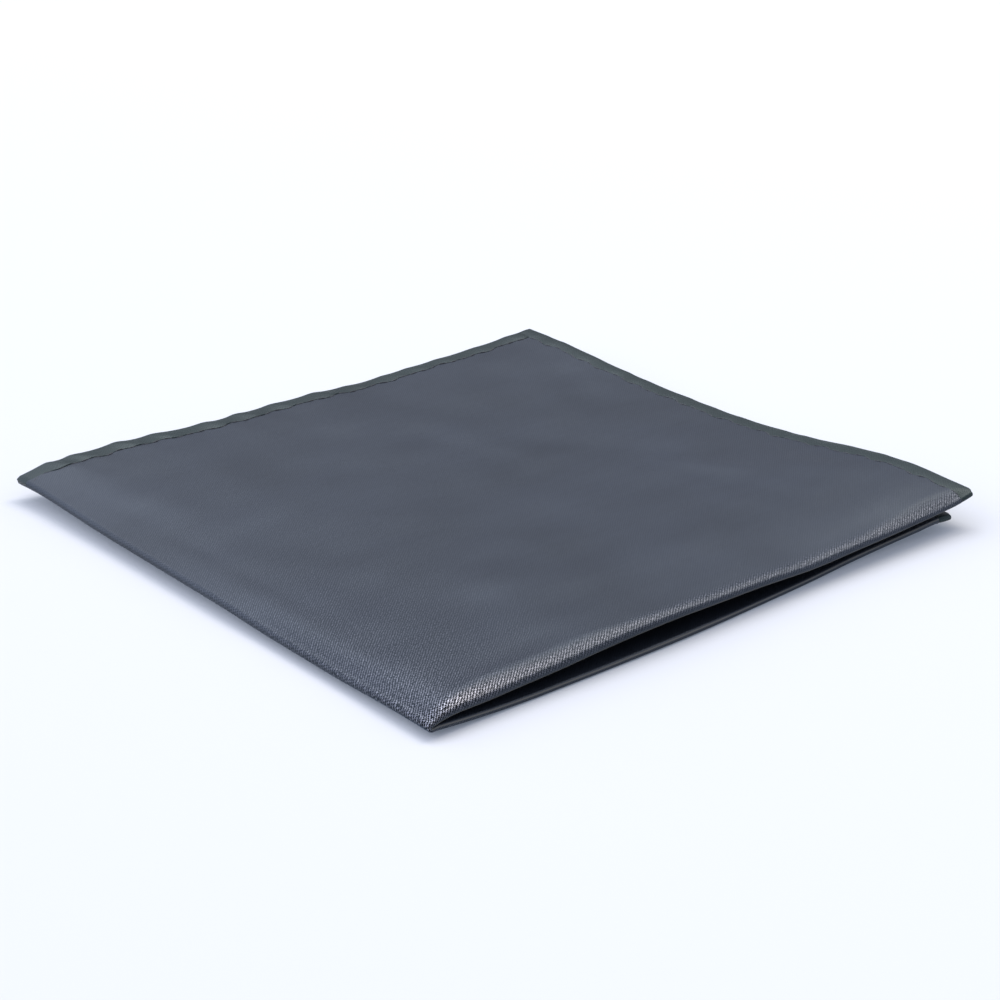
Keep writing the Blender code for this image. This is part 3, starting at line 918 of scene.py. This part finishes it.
@dataclass
class SatinPanel:
    """The sheet of cloth between its hems: four layers, round both lips and the closed fold."""

    form: FoldedForm
    puckers: Puckers  # of the hem along its left edge, which ripple on into the sheet
    cloth: float = 0.20  # thickness of the cloth
    tuck: float = 0.6  # how far the sheet runs on under its hems
    ripple: float = 0.10  # height of the puckers where they leave the hem
    ripple_reach: float = 3.0  # how far they fade into the sheet

    @property
    def radius(self) -> float:
        """Distance of each layer from the middle of its leaf."""
        return (self.form.leaf - self.cloth) / 2

    def charts(self) -> tuple[Array, Array]:
        """Lays out the grid: parts of the way to the free edges, close together at the folds.

        Returns:
            The path's part, from -2 on the lower leaf's edge to 1 on the upper's with the closed
            fold's arc from -1 to 0, and the run, each as a grid.
        """
        end = self.form.run_to(self.form.half - self.form.hem_width + self.tuck)
        upper, lower = graded(1.0, 0.0, 0.006, 0.0115, 0.15), graded(-1.0, -2.0, 0.009, 0.016, 0.12)
        outer, inner = graded(end, 1.0, 0.45, 1.2, 14.0), graded(-1.0, -end, 0.65, 3.0, 25.0)
        arc, lip = np.linspace(0.0, -1.0, 15)[1:-1], np.linspace(1.0, -1.0, 13)[1:-1]
        part, run = np.concatenate([upper, arc, lower]), np.concatenate([outer, lip, inner])
        return np.meshgrid(part, run, indexing="ij")

    def middle(self, part: Array, run: Array) -> tuple[Array, Array]:
        """Places the sheet's middle, with the left hem's ripples.

        The lower leaf's left edge is short, and the cloth is shortened from 30 to 90 mm behind
        the lips.

        Args:
            part: the path's part, as in charts.
            run: where the point is along the cloth.

        Returns:
            The points, and each point's path.
        """
        form = self.form
        y = np.maximum(abs(run) - 1.0, 0.0) - form.half
        upper_end = form.half - form.hem_width + self.tuck - form.fold_centre
        lower_end = form.lower_end(y) + form.hem_width - self.tuck
        upper = np.clip(part, 0.0, 1.0) * upper_end
        arc = np.clip(part, -1.0, 0.0) * form.arc
        lower = np.clip(part + 1, -1.0, 0.0) * (-form.arc - lower_end)
        path = upper + arc + lower
        shortened = np.sign(run) * form.left_short(path) * np.clip(abs(run) / 60 - 0.5, 0.0, 1.0)
        from_hem = form.half - form.hem_width - y
        wave = self.puckers.wave(path + form.fold_centre + form.half, 1 + from_hem / 8)
        fading = np.exp(-np.maximum(from_hem, 0.0) / self.ripple_reach)
        rise = self.ripple * fading * (wave - 0.5) * smooth_step(path, 1.0, 5.0)
        return form.place(path, run - shortened, np.where(run > 1.0, rise, 0.0), self.radius), path

    def build(self) -> Piece:
        """Builds the sheet: its middle, moved out by half the cloth's thickness on both sides.

        Returns:
            The closed shell.
        """
        part, run = self.charts()
        middle, path = self.middle(part, run)
        normal = np.cross(np.gradient(middle, axis=1), np.gradient(middle, axis=0))
        normal /= np.linalg.norm(normal, axis=-1, keepdims=True)
        offset = self.cloth / 2 * normal
        rows, columns = part.shape
        shift = rows * columns
        index = np.arange(shift).reshape(rows, columns)
        sides = grid_faces(rows, columns)
        rim = np.concatenate([index[0, :-1], index[:-1, -1], index[-1, :0:-1], index[:0:-1, 0]])
        after = np.roll(rim, -1)
        walls = np.stack([rim, after, after + shift, rim + shift], axis=-1)
        faces = np.concatenate([sides, sides[:, ::-1] + shift, walls])
        chart = np.stack([path, self.form.cloth_run(run, self.radius)], axis=-1) * MM
        points = np.stack([middle + offset, middle - offset])
        return make_piece("satin_panel", points, faces.tolist(), np.stack([chart, chart]))


class HemSide(Enum):
    """The four hems of the cloth, by the edge and the layers that they finish."""

    LEFT_OUTER = "left_outer"
    LEFT_INNER = "left_inner"
    UPPER_RIGHT = "upper_right"
    LOWER_RIGHT = "lower_right"

    @property
    def is_left(self) -> bool:
        """Whether the hem lies along the left edge and turns round the closed fold."""
        return self in (HemSide.LEFT_OUTER, HemSide.LEFT_INNER)


@dataclass
class TurnedHem:
    """One hem: the cloth's edge turned in twice, a flat tube of three plies."""

    form: FoldedForm
    side: HemSide
    puckers: Puckers
    thickness: float = 0.56  # of its three plies
    proud: float = 0.12  # how far the middle of its crowned top stands above the panel
    sink: float = 0.16  # how far its inner edge falls below the panel
    waver: float = 0.22  # how far the row of stitches strays from its line
    tuck: float = 0.5  # how far a left hem's ends run on under the right hems
    tip_reach: float = 0.8  # how far a right hem's end at the lip reaches out
    tip_length: float = 8.0  # how far along the hem that goes
    rounding: float = 0.5  # how far its end is rounded off again, right at the lip
    lower_shift: float = 0.45  # how far the lower leaf's puckers are moved along, in sides
    station_step: float = 0.45  # distance between its sections
    closing: float = 0.5  # how far from its ends the tube closes

    @property
    def radius(self) -> float:
        """Distance of the hem's middle from the middle of its leaf."""
        return self.form.leaf / 2 - self.thickness / 2

    def section(self) -> tuple[Array, Array, Array]:
        """Works out the hem's section, a closed loop from the stitches over the top and back.

        The free edge is a half circle, and at the stitches the top falls as an upright wall.

        Returns:
            For each point the inset from the free edge, its height as a part of half the
            thickness, and how much of the crown's and the puckers' height it takes.
        """
        width, round_end = self.form.hem_width, self.thickness / 2
        flat = np.linspace(width - 0.04, round_end, 12)
        angle = np.radians(np.linspace(90.0, -90.0, 11)[1:-1])
        edge = round_end * (1 - np.cos(angle))
        under = np.linspace(round_end, width - 0.25, 6)
        inset = np.concatenate([[width], flat, edge, under, [width - 0.05]])
        wall = -self.sink / round_end
        height = np.concatenate([[wall], np.ones(12), np.sin(angle), -np.ones(6), [-0.75]])
        top = np.concatenate([[0.0], np.ones(12), np.clip(np.sin(angle), 0.0, 1.0), np.zeros(7)])
        return inset, height, top

    def stations(self) -> Array:
        """Lays out the sections a step apart, and closer together round a lip.

        Returns:
            Their places: paths for a left hem and runs for a right one.
        """
        form, lower = self.form, self.side is HemSide.LOWER_RIGHT
        if self.side.is_left:
            start = form.half - form.hem_width - form.fold_centre + self.tuck
            end = form.lower_end(form.half) + form.hem_width - self.tuck
        else:
            start, end = form.run_to(form.half - form.short_left * lower), 1.0
        outer = np.linspace(start, end, round((start - end) / self.station_step) + 1)
        if self.side.is_left:
            return outer
        return np.concatenate([outer[:-1], np.linspace(1.0, -1.0, 25), -outer[-2::-1]])

    def wave(self, station: Array, across: Array) -> Array:
        """Reads the puckers at the hem's stations, none round the folds.

        Args:
            station: path along a left hem, or run along a right one.
            across: nothing at the free edge and one at the stitches.

        Returns:
            The puckers' wave, none to one.
        """
        if self.side.is_left:
            place = abs(station) + self.form.fold_centre + self.form.half
            open_part = smooth_step(abs(station + self.form.arc / 2), 2.0, 6.0)
            lower = place - self.form.arc + self.lower_shift * self.form.side
            place = np.where(station > 0, place, lower) % self.form.side
            return open_part * self.puckers.wave(place, across)
        return smooth_step(abs(station), 1.0, 5.0) * self.puckers.wave(abs(station), across)

    def strayed(self, station: Array, inset: Array) -> Array:
        """Works out the inset of a point with the seam's waver.

        Three sines of different lengths move the stitches, and the move fades as the inset's
        square towards the free edge.

        Args:
            station: where the point is along the hem.
            inset: distance in from the free edge.

        Returns:
            The inset that it has in fact.
        """
        place = abs(station) + 17.0 * len(self.side.value)
        waver = np.sin(0.83 * place) + 0.7 * np.sin(1.37 * place + 1.0) + 0.5 * np.sin(0.39 * place)
        return inset + self.waver * waver * (inset / self.form.hem_width) ** 2

    def at(self, station: Array, inset: Array, rise: Array) -> Array:
        """Places points of the hem.

        Args:
            station: path along a left hem, or run along a right one.
            inset: distance in from the free edge.
            rise: height off the hem's middle, towards its face.

        Returns:
            The points, in millimetres.
        """
        form = self.form
        inset = self.strayed(station, inset)
        if self.side.is_left:
            run = form.run_to(form.half - form.left_short(station)) - inset
            facing = 1 if self.side is HemSide.LEFT_OUTER else -1
            return form.place(station, facing * run, rise, self.radius)
        from_lip = np.maximum(abs(station) - 1.0, 0.0)
        reach = self.tip_reach * nearness(from_lip, self.tip_length)
        reach = reach - self.rounding * nearness(from_lip, 1.0)
        if self.side is HemSide.UPPER_RIGHT:
            path = form.half - form.fold_centre + reach - inset
        else:
            path = form.lower_end(from_lip - form.half) - reach + inset
        return form.place(path, station, rise, self.radius)

    def build(self) -> Piece:
        """Builds the hem: its section at every station, with a cap at both ends.

        The crown is a parabola across the hem's width.

        Returns:
            The closed tube.
        """
        inset, height, top = self.section()
        station = self.stations()
        grid_station, grid_inset = np.meshgrid(station, inset, indexing="ij")
        across = grid_inset / self.form.hem_width
        wave = self.wave(grid_station, across)
        spread = self.puckers.spread * (wave - 0.5) * (1 - across) ** 2
        crown = 1 - (2 * across - 1) ** 2
        rise = height * self.thickness / 2 + top * (self.proud * crown + self.puckers.rise * wave)
        ends = np.minimum(abs(station - station[0]), abs(station - station[-1]))
        closed = np.sqrt(1 - np.clip(1 - ends / self.closing, 0.0, 0.96) ** 2)[:, None]
        points = self.at(grid_station, grid_inset - spread, rise * closed)
        rows, columns = grid_station.shape
        faces = grid_faces(rows, columns, ring=True).tolist()
        first = list(range(columns))
        faces += [first, [point + (rows - 1) * columns for point in reversed(first)]]
        chart = np.stack([grid_station, self.form.side - grid_inset], axis=-1) * MM
        return make_piece(f"hem_{self.side.value}", points, faces, chart)


@dataclass
class StitchRow:
    """Row of stitches that holds a hem, one mesh."""

    hem: TurnedHem
    pitch: float = 2.3  # distance from one stitch to the next
    length: float = 1.9  # of a stitch
    thread: float = 0.2  # thickness
    inset: float = 3.16  # distance of the stitches from the free edge
    arch: float = 0.08  # how far a stitch stands up in its middle
    bite: float = 0.06  # how far its ends sink into the cloth

    def build(self) -> Piece:
        """Builds the stitches: each is a bent tube with closed, sunken ends.

        The tube's line is an arch, the sine of its length, and its sections are circles that
        shrink to a point at both ends.

        Returns:
            The joined stitches.
        """
        hem = self.hem
        ends = hem.stations()[[0, -1]]
        count = int((abs(ends[1] - ends[0]) - 2.0) / self.pitch)
        centre = np.linspace(ends[0], ends[1], count + 2)[1:-1]
        part = np.linspace(0.0, 1.0, 9)
        angle = np.linspace(0.0, 2 * math.pi, 8, endpoint=False)
        middle, along, around = np.meshgrid(centre, part, angle, indexing="ij")
        size = self.thread / 2 * np.sqrt(np.clip(1 - (2 * along - 1) ** 4, 0.0004, 1.0))
        station = middle + (along - 0.5) * self.length
        arch = self.arch * np.sin(math.pi * along) - self.bite
        rise = hem.form.leaf / 2 - hem.radius + arch + size * np.sin(around)
        points = hem.at(station, self.inset + size * np.cos(around), rise)
        rings, sides = len(part), len(angle)
        cap = np.arange(sides)
        caps = np.stack([cap, cap[::-1] + (rings - 1) * sides])
        starts = (np.arange(count) * rings * sides)[:, None, None]
        faces = (grid_faces(rings, sides, ring=True)[None] + starts).reshape(-1, 4).tolist()
        faces += (caps[None] + starts).reshape(-1, sides).tolist()
        chart = np.stack([station, self.inset + size * around], axis=-1) * MM
        return make_piece(f"stitches_{hem.side.value}", points, faces, chart)


@dataclass
class PocketSquare:
    """The whole folded square: its sheet, its four hems and their stitches."""

    form: FoldedForm = field(default_factory=FoldedForm)
    satin: SatinFinish = SatinFinish("satin", (0.017, 0.021, 0.029), (0.010, 0.012, 0.016))
    # The hems' satin is a darker, greener copy of the sheet's satin: its darkness is painted shade on
    # the hems.
    shaded_hem_satin: SatinFinish = SatinFinish(
        "satin_hem",
        colour=(0.011, 0.019, 0.018),
        pit_shade_colour=(0.006, 0.010, 0.010),
        gloss=0.33,
        sheen=(0.66, 0.84, 0.90),
        wear_and_highlight_shine=(0.05, 0.06, 0.065),
        line=0.0,
    )
    thread: ThreadFinish = ThreadFinish()

    def puckers(self, side: HemSide) -> Puckers:
        """Gives a hem its puckers: the left outer one's are as the cloth shows.

        Args:
            side: which of the four hems it is.

        Returns:
            Its puckers.
        """
        if side is HemSide.LEFT_OUTER:
            return Puckers(tuple(LEFT_RIDGES["place"]), tuple(LEFT_RIDGES["size"]))
        shift = {HemSide.LEFT_INNER: 0.3, HemSide.UPPER_RIGHT: 0.55, HemSide.LOWER_RIGHT: 0.1}
        return Puckers.uneven(self.form.side, shift[side], 0.8 if side.is_left else 0.3)

    def build(self) -> list[Piece]:
        """Builds and dresses every piece, and attaches each to the root body.

        Returns:
            The pieces, the sheet first.
        """
        groups = weave_group(), wear_and_highlight_group(), mottle_group()
        satin, shaded_hem_satin = self.satin.make(*groups), self.shaded_hem_satin.make(*groups)
        thread = self.thread.make()
        panel = SatinPanel(self.form, self.puckers(HemSide.LEFT_OUTER)).build()
        panel.data.materials.append(satin)
        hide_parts("upper_leaf", "lower_leaf")
        pieces = [panel]
        stood_for = {
            HemSide.LEFT_OUTER: ("upper_left_hem", "lower_left_hem"),
            HemSide.UPPER_RIGHT: ("upper_right_hem",),
            HemSide.LOWER_RIGHT: ("lower_right_hem",),
        }
        for side in HemSide:
            hem = TurnedHem(self.form, side, self.puckers(side))
            edge, stitches = hem.build(), StitchRow(hem).build()
            edge.data.materials.append(shaded_hem_satin)
            stitches.data.materials.append(thread)
            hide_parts(*stood_for.get(side, ()))
            for piece in (edge, stitches):
                pieces.append(piece)
        for piece in pieces:
            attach(piece, "root")
            LOG.info("%s: %d faces", piece.name, len(piece.data.polygons))
        return pieces


@dataclass(frozen=True)
class Softbox:
    """A square studio light, aimed at the middle of the square."""

    name: str
    direction: tuple[float, float, float]  # where it stands, seen from the square
    distance: float  # in metres
    size: float  # its side, in metres
    brightness: float  # of its face, where one is white
    colour: Colour

    def build(self) -> None:
        """Builds the light, whose power is pi times its area times its brightness."""
        data = bpy.data.lights.new(self.name, "AREA")
        data.shape, data.size, data.color = "SQUARE", self.size, self.colour
        data.energy = math.pi * self.size**2 * self.brightness
        light, towards = in_scene(self.name, data), Vector(self.direction).normalized()
        light.location = towards * self.distance
        light.rotation_euler = towards.to_track_quat("Z", "Y").to_euler()


@dataclass
class Studio:
    """Pale floor, soft light and the camera."""

    azimuth: float = -39.05  # the camera's direction round the square, in degrees
    elevation: float = 23.40  # its height above the horizon, in degrees
    roll: float = -0.81  # its tilt about its own line of sight, in degrees
    distance: float = 0.41946  # from the point that it looks at, in metres
    looks_at: tuple[float, float, float] = (0.00421, 0.00212, 0.0)
    lens: float = 91.64  # focal length on a sensor 36 mm wide
    lights: tuple[Softbox, ...] = (
        Softbox("key", (0.555, 0.068, 0.829), 2.0, 0.85, 6.4, (1.10, 1.0, 0.90)),
        Softbox("overhead", (0.270, 0.455, 0.849), 2.2, 1.15, 4.80, (1.0, 1.0, 1.04)),
    )
    # Each glow's direction, the cosines from it where it starts and is whole, and its strengths.
    glows: tuple[tuple, ...] = (
        ((0.0, 1.0, 0.0), -0.7, 0.7, 0.155, 0.20),
        ((-0.360, 0.840, 0.406), 0.46, 1.0, 0.0, 1.00),
        ((-0.700, 0.450, 0.555), 0.20, 1.0, 0.0, 1.00),
        ((0.755, -0.350, 0.555), 0.20, 1.0, 0.0, 0.70),
    )

    def camera(self) -> None:
        """Builds the camera: turned, tilted and rolled, then moved back along its line of sight."""
        data = bpy.data.cameras.new("camera")
        data.lens, data.sensor_width = self.lens, 36.0
        data.clip_start, data.clip_end = 0.01, 20.0
        turns = zip((self.azimuth, 90.0 - self.elevation, self.roll), "ZXZ")
        around, tilt, roll = (Matrix.Rotation(math.radians(turn), 4, axis) for turn, axis in turns)
        back = Matrix.Translation((0.0, 0.0, self.distance))
        camera = in_scene("camera", data)
        camera.matrix_world = Matrix.Translation(self.looks_at) @ around @ tilt @ roll @ back
        bpy.context.scene.camera = camera

    def floor(self) -> None:
        """Builds the floor: a wide flat disc with a faint unevenness in its white, and a faint bluish
        glow, painted light that lifts the shadows on it.
        """
        mesh = bpy.data.meshes.new("floor")
        angle = np.linspace(0.0, 2 * math.pi, 96, endpoint=False)
        rim = np.stack([3.0 * np.cos(angle), 3.0 * np.sin(angle), np.full(96, -0.00005)], axis=-1)
        mesh.from_pydata(rim.tolist(), [], [list(range(96))])
        material, nodes, shader = new_material("pale_floor")
        noise = nodes.put(nodes.add("ShaderNodeTexNoise"), Scale=6.0, Detail=2.0)
        tint = nodes.mix(noise.outputs[0], (0.531, 0.541, 0.542), (0.548, 0.558, 0.560))
        nodes.put(shader, Base_Color=tint, Roughness=0.8, Specular_IOR_Level=0.0)
        # The floor's faint bluish glow is painted light that lifts the shadows on it.
        nodes.put(shader, Emission_Color=(0.65, 0.77, 1.0), Emission_Strength=0.16)
        mesh.materials.append(material)
        floor = in_scene("floor", mesh)

    def surround(self) -> None:
        """Builds the room's own light: even and dim, with bluish window glows on three sides.

        The camera itself sees a white as pale as the floor.
        """
        world = bpy.data.worlds.new("surround")
        world.use_nodes = True
        nodes = Nodes(world.node_tree)
        direction = nodes.add("ShaderNodeTexCoord").outputs["Generated"]
        glow = 0.0
        for towards, *fading in self.glows:
            facing = nodes.number("DOT_PRODUCT", direction, towards, kind="ShaderNodeVectorMath")
            glow = nodes.number("ADD", nodes.fade(facing, *fading), glow)
        seen = nodes.add("ShaderNodeLightPath").outputs["Is Camera Ray"]
        tinted = nodes.vector("MULTIPLY", (0.94, 0.98, 1.16), glow)
        colour = nodes.mix(seen, tinted, (0.93, 0.965, 0.99))
        nodes.put(world.node_tree.nodes["Background"], Color=colour, Strength=1.0)
        bpy.context.scene.world = world

    def build(self) -> None:
        """Builds the whole studio."""
        self.camera()
        self.floor()
        self.surround()
        for light in self.lights:
            light.build()
        bpy.context.scene.view_settings.view_transform = "Standard"


def main() -> None:
    """Builds the studio and the square, and reports each piece."""
    logging.basicConfig(level=logging.INFO, format="%(name)s: %(message)s")
    Studio().build()
    pieces = PocketSquare().build()
    LOG.info("%d pieces around %d nodes", len(pieces), len(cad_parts))


if __name__ == "__main__":
    main()
